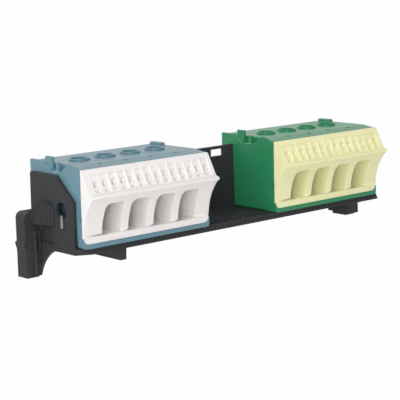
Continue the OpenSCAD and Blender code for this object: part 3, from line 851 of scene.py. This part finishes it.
@dataclass(frozen=True)
class ClampScrew:
    """A captive clamp screw: pan head with a cross recess, threaded shank."""

    head_h: float = 3.0
    head_round: float = 0.6
    shank_r: float = 2.5
    pitch: float = 0.8
    thread_depth: float = 0.42
    thread_fades: tuple[float, float] = (0.86, 0.94)
    lead_taper: float = 0.16
    lead_share: float = 0.12
    recess_w: float = 1.1
    recess_l: float = 4.6
    recess_d: float = 1.8
    around: int = 48
    rows_each_pitch: int = 6
    head_rows: tuple[int, int, int, int] = (2, 2, 4, 3)
    seam: float = 0.0005
    weld: float = 0.001

    def tree(self, length: float, head_r: float) -> GeometryGraph:
        """Build the tree that grows a screw about its own axis, with its tip at height 0.

        Args:
            length: Length from tip to the top of the head, in metres.
            head_r: Radius of the head, in metres.

        Returns:
            The closed tree.
        """
        graph = GeometryGraph("clamp screw", {
            "Place": (0.0, 0.0, 0.0),
            "Length": length,
            "Head Radius": head_r,
            "Head Height": self.head_h * MM,
            "Head Round": self.head_round * MM,
            "Shank Radius": self.shank_r * MM,
            "Pitch": self.pitch * MM,
            "Thread Depth": self.thread_depth * MM,
            "Recess Width": self.recess_w * MM,
            "Recess Length": self.recess_l * MM,
            "Recess Depth": self.recess_d * MM,
            "Material": WARDROBE.material(ZINC),
        })
        turned = self._turned(graph, length)
        wing = graph.vector(graph["Recess Length"], graph["Recess Width"], graph["Recess Depth"] * 2)
        cross = graph.block(wing)
        top = graph.vector(0.0, 0.0, graph["Length"])
        cutters = [graph.moved(cross, top), graph.moved(cross, top, (0.0, 0.0, math.pi / 2))]
        cut = graph.cut(turned, cutters)
        screw = graph.node(
            "GeometryNodeMergeByDistance", None, {"Geometry": cut, "Distance": self.weld * MM}
        )
        marked = graph.node(
            "GeometryNodeStoreNamedAttribute",
            {"data_type": "FLOAT_VECTOR", "domain": "POINT"},
            {"Geometry": screw, "Name": "from_axis", "Value": graph.node("GeometryNodeInputPosition")},
        )
        graph.close(graph.moved(marked, graph["Place"]))
        return graph

    def _turned(self, graph: GeometryGraph, length: float) -> Sock:
        """The screw's turned shape, with its helical thread.

        Args:
            graph: The tree.
            length: Length of the screw in metres, which sets how many rows the thread takes.

        Returns:
            The closed solid of revolution.
        """
        shank_rows = round((length / MM - self.head_h) / self.pitch * self.rows_each_pitch)
        rows = [shank_rows, *self.head_rows]
        marks = [sum(rows[:k]) / sum(rows) for k in range(len(rows) + 1)]
        grid, share, run = graph.sheet(self.around, sum(rows))
        shank, under, side, bend, top = (run.within(a, b) for a, b in zip(marks, marks[1:]))
        quarter = bend * (math.pi / 2)
        rise = graph["Head Height"] - graph["Head Round"]
        height = (
            shank * (graph["Length"] - graph["Head Height"])
            + side * rise
            + graph["Head Round"] * quarter.math("SINE", quarter)
        )
        phase = height / graph["Pitch"] - share
        tooth = abs((phase - phase.math("FLOOR", phase)) * 2 - 1)
        cut_back = graph["Thread Depth"] * tooth * (1 - shank.within(*self.thread_fades))
        tip = shank.within(0.0, 1 / shank_rows)
        lead = 1 - self.lead_taper * (1 - shank.within(0.0, self.lead_share))
        radius = (
            (graph["Shank Radius"] * lead - cut_back) * tip
            + (graph["Head Radius"] - graph["Shank Radius"]) * under
            - graph["Head Round"] * (1 - quarter.math("COSINE", quarter))
            - (graph["Head Radius"] - graph["Head Round"]) * top
        )
        angle = share * (2 * math.pi)
        place = graph.vector(
            radius * angle.math("COSINE", angle), radius * angle.math("SINE", angle), height
        )
        return graph.rolled(grid, place, self.seam * MM)


@dataclass(frozen=True)
class ClampCage:
    """A rising clamp cage: a rolled steel frame with a threaded top."""

    wall: float = 1.6
    nut_t: float = 2.8
    nut_inset: float = 0.1
    nut_bite: float = 0.4
    bore_r: float = 2.55
    bore_around: int = 32
    bend_r: float = 1.3
    bend_steps: int = 6

    def tree(self, size: Vector) -> GeometryGraph:
        """Build the tree that grows a cage about its own middle.

        Args:
            size: The cage's outer size in metres.

        Returns:
            The closed tree.
        """
        graph = GeometryGraph("clamp cage", {
            "Place": (0.0, 0.0, 0.0),
            "Width": size.x,
            "Depth": size.y,
            "Height": size.z,
            "Wall": self.wall * MM,
            "Nut Thickness": self.nut_t * MM,
            "Nut Inset": self.nut_inset * MM,
            "Bore Radius": self.bore_r * MM,
            "Bend Radius": self.bend_r * MM,
            "Material": WARDROBE.material(CAGE),
        })
        frame_curve = graph.node("GeometryNodeCurvePrimitiveQuadrilateral", None, {
            "Width": graph["Width"] - graph["Wall"],
            "Height": graph["Height"] - graph["Wall"],
        })
        sockets = {"Curve": frame_curve, "Radius": graph["Bend Radius"], "Count": self.bend_steps}
        bent = graph.node("GeometryNodeFilletCurve", {"mode": "POLY"}, sockets)
        strip = graph.node("GeometryNodeCurvePrimitiveQuadrilateral", None, {
            "Width": graph["Wall"],
            "Height": graph["Depth"],
        })
        rolled = graph.node("GeometryNodeCurveToMesh", None, {"Curve": bent, "Profile Curve": strip})
        upright = graph.moved(rolled, (0.0, 0.0, 0.0), (math.pi / 2, 0.0, 0.0))
        plate = graph.block(graph.vector(
            graph["Width"] - graph["Wall"] * (2 * (1 - self.nut_bite)),
            graph["Depth"] - graph["Nut Inset"] * 2,
            graph["Nut Thickness"] - graph["Wall"] / 2,
        ))
        plate_z = graph["Height"] / 2 - graph["Nut Thickness"] / 2 - graph["Wall"] / 4
        nut = graph.moved(plate, graph.vector(0.0, 0.0, plate_z))
        bore = graph.node("GeometryNodeMeshCylinder", None, {
            "Vertices": self.bore_around,
            "Radius": graph["Bore Radius"],
            "Depth": graph["Nut Thickness"] * 3,
        })
        hole = graph.moved(bore, graph.vector(0.0, 0.0, graph["Height"] / 2))
        cage = graph.cut(graph.joined([upright, nut]), [hole])
        graph.close(graph.moved(cage, graph["Place"]))
        return graph


@dataclass(frozen=True)
class SpringRow:
    """The plug-in terminals' bent strip springs, one behind each wire hole."""

    count: int = 14
    width: float = 3.4
    thickness: float = 0.5
    tip_rise: float = 3.2
    tip_back: float = 2.5
    shoulder: float = 1.6
    bend_r: float = 0.9
    bend_steps: int = 5

    def tree(self, low: Vector, high: Vector) -> GeometryGraph:
        """Build the tree that grows a block's row of springs.

        Args:
            low: Lowest corner of the row in metres.
            high: Highest corner of the row in metres.

        Returns:
            The closed tree.
        """
        half = self.thickness * MM / 2
        graph = GeometryGraph("spring row", {
            "Start": (low.x + self.width * MM / 2, 0.0, 0.0),
            "Count": self.count,
            "Pitch": (high.x - low.x - self.width * MM) / (self.count - 1),
            "Strip Width": self.width * MM,
            "Strip Thickness": self.thickness * MM,
            "Bend Radius": self.bend_r * MM,
            "Rear": high.y - half,
            "Front": low.y + half,
            "Base": low.z,
            "Top": high.z - half,
            "Shoulder": self.shoulder * MM,
            "Tip Back": self.tip_back * self.thickness * MM,
            "Tip Height": low.z + self.tip_rise * MM,
            "Material": WARDROBE.material(SPRING),
        })
        corners = [
            graph.vector(0.0, graph["Rear"], graph["Base"]),
            graph.vector(0.0, graph["Rear"], graph["Top"]),
            graph.vector(0.0, graph["Front"], graph["Top"]),
            graph.vector(0.0, graph["Front"], graph["Top"] - graph["Shoulder"]),
            graph.vector(0.0, graph["Rear"] - graph["Tip Back"], graph["Tip Height"]),
        ]
        line = graph.node("GeometryNodeMeshLine", None, {"Count": len(corners)})
        sockets = {"Geometry": line, "Position": self._by_index(graph, corners)}
        bent_line = graph.node("GeometryNodeSetPosition", None, sockets)
        bent = graph.node("GeometryNodeFilletCurve", {"mode": "POLY"}, {
            "Curve": graph.node("GeometryNodeMeshToCurve", None, {"Mesh": bent_line}),
            "Radius": graph["Bend Radius"],
            "Limit Radius": True,
            "Count": self.bend_steps,
        })
        section = graph.node("GeometryNodeCurvePrimitiveQuadrilateral", None, {
            "Width": graph["Strip Thickness"],
            "Height": graph["Strip Width"],
        })
        sockets = {"Curve": bent, "Profile Curve": section, "Fill Caps": True}
        strip = graph.node("GeometryNodeCurveToMesh", None, sockets)
        graph.close(graph.row(strip, graph["Start"], graph["Count"], graph["Pitch"]))
        return graph

    @staticmethod
    def _by_index(graph: GeometryGraph, places: list[Sock]) -> Sock:
        """The place that belongs to each point's index."""
        chosen = places[0]
        index = graph.node("GeometryNodeInputIndex")
        for number, place in enumerate(places[1:], start=1):
            reached = graph.node(
                "FunctionNodeCompare",
                {"data_type": "INT", "operation": "GREATER_EQUAL"},
                {"A": index, "B": number},
            )
            chosen = graph.node(
                "GeometryNodeSwitch", {"input_type": "VECTOR"}, {0: reached, 1: chosen, 2: place}
            )
        return chosen


@dataclass(frozen=True)
class FunnelRow:
    """A row of funnels inside the cover's plug-in wire holes or release slots.

    A funnel is a closed ring: in from the mouth to the throat, out at full depth, up along the outside.
    """

    count: int = 14
    pitch: float = 5.0
    mouth_w: float = 2.4
    mouth_l: float = 3.0
    throat_w: float = 0.9
    throat_l: float = 1.0
    depth: float = 1.8
    sunk: float = 0.06
    bite: float = 0.05
    around: int = 32
    squareness: float = 0.34
    seam: float = 0.001

    def tree(self, finish: MouldedPlastic) -> GeometryGraph:
        """Build the tree that grows a cover's row of funnels.

        Args:
            finish: The cover's finish.

        Returns:
            The closed tree.
        """
        graph = GeometryGraph("lead-in funnels", {
            "Start": (0.0, 0.0, 0.0),
            "Tilt": 0.0,
            "Count": self.count,
            "Pitch": self.pitch * MM,
            "Mouth Width": (self.mouth_w + 2 * self.bite) * MM,
            "Mouth Length": (self.mouth_l + 2 * self.bite) * MM,
            "Throat Width": self.throat_w * MM,
            "Throat Length": self.throat_l * MM,
            "Depth": self.depth * MM,
            "Sunk": self.sunk * MM,
            "Material": WARDROBE.material(finish),
        })
        grid, share, run = graph.sheet(self.around, 3)
        narrowing = run.within(0.0, 1 / 3)
        widening = run.within(1 / 3, 2 / 3)
        rising = run.within(2 / 3, 1.0)
        waist = narrowing - widening
        deep = narrowing - rising
        wide = graph["Mouth Width"] + (graph["Throat Width"] - graph["Mouth Width"]) * waist
        tall = graph["Mouth Length"] + (graph["Throat Length"] - graph["Mouth Length"]) * waist
        angle = share * (2 * math.pi) + math.pi / self.around
        across = self._square_wave(angle.math("COSINE", angle))
        upward = self._square_wave(angle.math("SINE", angle))
        place = graph.vector(
            wide * across / 2, graph["Sunk"] + graph["Depth"] * deep, tall * upward / 2
        )
        funnel = graph.rolled(grid, place, self.seam * MM)
        tilt = graph.vector(graph["Tilt"], 0.0, 0.0)
        tilted = graph.moved(funnel, (0.0, 0.0, 0.0), tilt)
        graph.close(graph.row(tilted, graph["Start"], graph["Count"], graph["Pitch"]))
        return graph

    def _square_wave(self, wave: Sock) -> Sock:
        """A sine or cosine squared up, so that a circle becomes a rounded rectangle."""
        return wave.math("SIGN", wave) * abs(wave) ** self.squareness


class BlockKind(Enum):
    """The two blocks of the row."""

    NEUTRAL = "neutral"
    EARTH = "earth"

    @property
    def body_finish(self) -> MouldedPlastic:
        """Finish of the block's body."""
        return BLUE if self is BlockKind.NEUTRAL else GREEN

    @property
    def cover_finish(self) -> MouldedPlastic:
        """Finish of the block's cover."""
        return WHITE if self is BlockKind.NEUTRAL else YELLOW


@dataclass(frozen=True)
class CoverSlope:
    """Where the plug-in holes lie on a cover's upper slope, from the cover's own box."""

    nose_out: float = 8.5
    top_in: float = 0.6
    top_down: float = 0.4
    run: float = 5.1
    fall: float = 10.0
    hole_middle: float = 6.7
    slot_middle: float = 10.1
    cell_depth: float = 0.5

    @property
    def tilt(self) -> float:
        """Lean of the slope from upright, in radians."""
        return math.atan2(self.run, self.fall)

    def place(self, along: float, low: Vector, high: Vector) -> Vector:
        """Middle of a row of mouths in the cells' floor.

        Args:
            along: Distance of the mouths from the slope's top, in millimetres.
            low: The cover's lowest corner in metres.
            high: The cover's highest corner in metres.

        Returns:
            A point whose X is the cover's middle.
        """
        top = Vector((
            (low.x + high.x) / 2,
            low.y + (self.nose_out - self.top_in) * MM,
            high.z - self.top_down * MM,
        ))
        turn = Matrix.Rotation(-self.tilt, 3, "X")
        return top + turn @ Vector((0.0, self.cell_depth * MM, -along * MM))


@dataclass(frozen=True)
class TerminalBlock:
    """One terminal block: body, cover, busbar, springs, clamp screws and cages."""

    kind: BlockKind
    poles: int = 4
    terminal_shift: float = 0.8
    body_round: EdgeRound = EdgeRound(broad=0.55, bands=(RoundBand(-0.1, 0.1, 1.0),))
    cover_round: EdgeRound = EdgeRound(
        broad=0.5, fine=0.3, bands=(RoundBand(3.2, 18.2, 0.7), RoundBand(22.6, 33.0, 0.2))
    )
    bar_round: EdgeRound = EdgeRound(broad=0.2, segments=2)
    slope: CoverSlope = CoverSlope()
    screw: ClampScrew = ClampScrew()
    cage: ClampCage = ClampCage()
    springs: SpringRow = SpringRow()
    hole_funnels: FunnelRow = FunnelRow()
    slot_funnels: FunnelRow = FunnelRow(
        mouth_w=1.8, mouth_l=1.2, throat_w=0.9, throat_l=0.1, depth=0.8
    )

    def named(self, piece: str) -> str:
        """Full name of one of the block's frame pieces."""
        return f"{self.kind.value}_{piece}"

    def build(self) -> None:
        """Make and seat every piece of the block."""
        self._mouldings()
        self._plug_terminals()
        self._clamps()

    def _mouldings(self) -> None:
        """Body, cover and busbar, copied from the frame with rounded edges."""
        for piece, finish, rounding in (
            ("body", self.kind.body_finish, self.body_round),
            ("cover", self.kind.cover_finish, self.cover_round),
            ("busbar", BRASS, self.bar_round),
        ):
            node = self.named(piece)
            seat(rounding.copy_of(node, node + "_finished"), finish, CARRIER_BODY, node)

    def _plug_terminals(self) -> None:
        """Springs behind the plug-in holes and funnels inside them."""
        node = self.named("springs")
        row = self.springs.tree(*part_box(node)).grown(node + "_bent")
        seat(row, SPRING, CARRIER_BODY, node)
        for piece, funnels, along in (
            ("lead_in_funnels", self.hole_funnels, self.slope.hole_middle),
            ("release_slot_funnels", self.slot_funnels, self.slope.slot_middle),
        ):
            place = self.slope.place(along, *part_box(self.named("cover")))
            first = (funnels.count - 1) / 2 * funnels.pitch - self.terminal_shift
            place.x -= first * MM
            tree = funnels.tree(self.kind.cover_finish)
            grown = tree.grown(self.named(piece), Start=tuple(place), Tilt=-self.slope.tilt)
            seat(grown, self.kind.cover_finish, CARRIER_BODY)

    def _clamps(self) -> None:
        """Clamp screws and cages, each on its own body."""
        low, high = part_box(self.named("screw_1"))
        screw_tree = self.screw.tree(high.z - low.z, (high.x - low.x) / 2)
        low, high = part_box(self.named("cage_1"))
        cage_tree = self.cage.tree(high - low)
        for pole in range(1, self.poles + 1):
            node = self.named(f"screw_{pole}")
            low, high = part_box(node)
            axis = (low + high) / 2
            grown = screw_tree.grown(node + "_turned", Place=(axis.x, axis.y, low.z))
            seat(grown, ZINC, node, node)
            node = self.named(f"cage_{pole}")
            low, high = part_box(node)
            grown = cage_tree.grown(node + "_rolled", Place=tuple((low + high) / 2))
            seat(grown, CAGE, node, node)


@dataclass(frozen=True)
class Softbox:
    """A square lamp that looks at the middle of the row."""

    name: str
    azimuth: float
    elevation: float
    distance: float
    size: float
    power: float

    def build(self, target: Vector) -> None:
        """Hang the lamp.

        Args:
            target: The point that it looks at, in metres.
        """
        lamp = bpy.data.lights.new(self.name, "AREA")
        lamp.shape = "SQUARE"
        lamp.size = self.size
        lamp.energy = self.power
        holder = bpy.data.objects.new(self.name, lamp)
        bpy.context.scene.collection.objects.link(holder)
        back = direction(self.azimuth, self.elevation)
        holder.location = target + back * self.distance
        holder.rotation_euler = (-back).to_track_quat("-Z", "Y").to_euler()


def direction(azimuth: float, elevation: float) -> Vector:
    """Unit vector from the object towards a viewer.

    Args:
        azimuth: Degrees round from the front, to the right.
        elevation: Degrees above the horizon.

    Returns:
        The unit vector.
    """
    turn, lift = math.radians(azimuth), math.radians(elevation)
    return Vector((
        math.sin(turn) * math.cos(lift), -math.cos(turn) * math.cos(lift), math.sin(lift)
    ))


@dataclass(frozen=True)
class Viewpoint:
    """The photograph's camera, fitted to the object's corners in its 400-pixel frame."""

    azimuth: float = -41.08
    elevation: float = 9.92
    roll: float = -1.5
    distance: float = 660.3
    target: tuple[float, float, float] = (75.52, -38.8, 14.46)
    focal_pixels: float = 1381.7
    frame_pixels: float = 400.0
    sensor: float = 36.0

    def build(self) -> None:
        """Make the scene's camera."""
        lens = bpy.data.cameras.new("photo_camera")
        lens.sensor_width = self.sensor
        lens.lens = self.focal_pixels / self.frame_pixels * self.sensor
        lens.clip_start = 0.01
        lens.clip_end = 100.0
        holder = bpy.data.objects.new("photo_camera", lens)
        bpy.context.scene.collection.objects.link(holder)
        back = direction(self.azimuth, self.elevation)
        right = Vector((0.0, 0.0, 1.0)).cross(back).normalized()
        upright = Matrix((right, back.cross(right), back)).transposed()
        turn = upright @ Matrix.Rotation(math.radians(self.roll), 3, "Z")
        holder.matrix_world = Matrix.Translation(self.aim + back * self.distance * MM) @ turn.to_4x4()
        bpy.context.scene.camera = holder

    @property
    def aim(self) -> Vector:
        """The point that the camera looks at, in metres."""
        return Vector(self.target) * MM


@dataclass(frozen=True)
class Studio:
    """White sweep, soft light from the upper left, and the photograph's viewpoint."""

    floor_drop: float = 45.0
    floor_size: float = 40.0
    floor_tint: Tint = (244, 244, 244)
    floor_mottle: float = 0.02
    floor_mottle_size: float = 180.0
    floor_glow: float = 0.98
    sky_strength: float = 0.38
    viewpoint: Viewpoint = Viewpoint()
    lamps: tuple[Softbox, ...] = (
        Softbox("key_left", -64.0, 28.0, 0.9, 0.5, 2.5),
        Softbox("camera_fill", -44.0, 8.0, 1.1, 0.3, 4.4),
        Softbox("top", -25.0, 78.0, 0.9, 0.7, 1.5),
        Softbox("back_fill", 190.0, 35.0, 1.0, 0.8, 2.2),
    )

    def build(self) -> None:
        """Make the floor, the sky, the lamps and the camera."""
        scene = bpy.context.scene
        scene.view_settings.view_transform = "Standard"
        self._floor()
        self._sky(scene)
        for lamp in self.lamps:
            lamp.build(self.viewpoint.aim)
        self.viewpoint.build()

    def _seen_directly(self, graph: Graph) -> Sock:
        """1 for rays from the camera and for mirrored or refracted ones, 0 for scattered light."""
        path = graph.node("ShaderNodeLightPath", output="Is Camera Ray")
        seen = path + path.also("Is Glossy Ray") + path.also("Is Transmission Ray")
        return seen.math("MINIMUM", seen, 1.0)

    def _floor(self) -> None:
        """A pale floor under the row, which keeps a soft shadow."""
        half = self.floor_size / 2
        level = CAD_BOX[0][2] - self.floor_drop * MM
        mesh = bpy.data.meshes.new("floor")
        corners = [(-half, -half, level), (half, -half, level), (half, half, level), (-half, half, level)]
        mesh.from_pydata(corners, [], [(0, 1, 2, 3)])
        graph = ShaderGraph("floor white")
        cloud = graph.noise(graph.millimetres(), self.floor_mottle_size)
        dull, bright = (linear(self.floor_tint, 1 + sign * self.floor_mottle) for sign in (-1, 1))
        tone = graph.mixed(dull, bright, cloud)
        matt = graph.node("ShaderNodeBsdfDiffuse", None, {"Color": tone})
        glow = graph.node("ShaderNodeEmission", None, {"Color": (1.0, 1.0, 1.0, 1.0), "Strength": 1.0})
        share = self._seen_directly(graph) * self.floor_glow
        both = graph.node("ShaderNodeMixShader", None, {0: share, 1: matt, 2: glow})
        graph.node("ShaderNodeOutputMaterial", None, {"Surface": both})
        mesh.materials.append(graph.material)
        floor = bpy.data.objects.new("floor", mesh)
        bpy.context.scene.collection.objects.link(floor)

    def _sky(self, scene: bpy.types.Scene) -> None:
        """White all round to the camera and in mirrors, a plain soft light otherwise."""
        world = bpy.data.worlds.new("white studio")
        world.use_nodes = True
        scene.world = world
        graph = Graph(world.node_tree)
        seen = self._seen_directly(graph)
        strength = self.sky_strength + (1 - self.sky_strength) * seen
        sky = graph.node(
            "ShaderNodeBackground", None, {"Color": (1.0, 1.0, 1.0, 1.0), "Strength": strength}
        )
        graph.node("ShaderNodeOutputWorld", None, {"Surface": sky})


def main() -> None:
    """Build the carrier, the two blocks and the studio, in that order."""
    logging.basicConfig(level=logging.INFO, format="%(name)s: %(message)s")
    Carrier().build()
    for kind in BlockKind:
        TerminalBlock(kind).build()
    Studio().build()


if __name__ == "__main__":
    main()
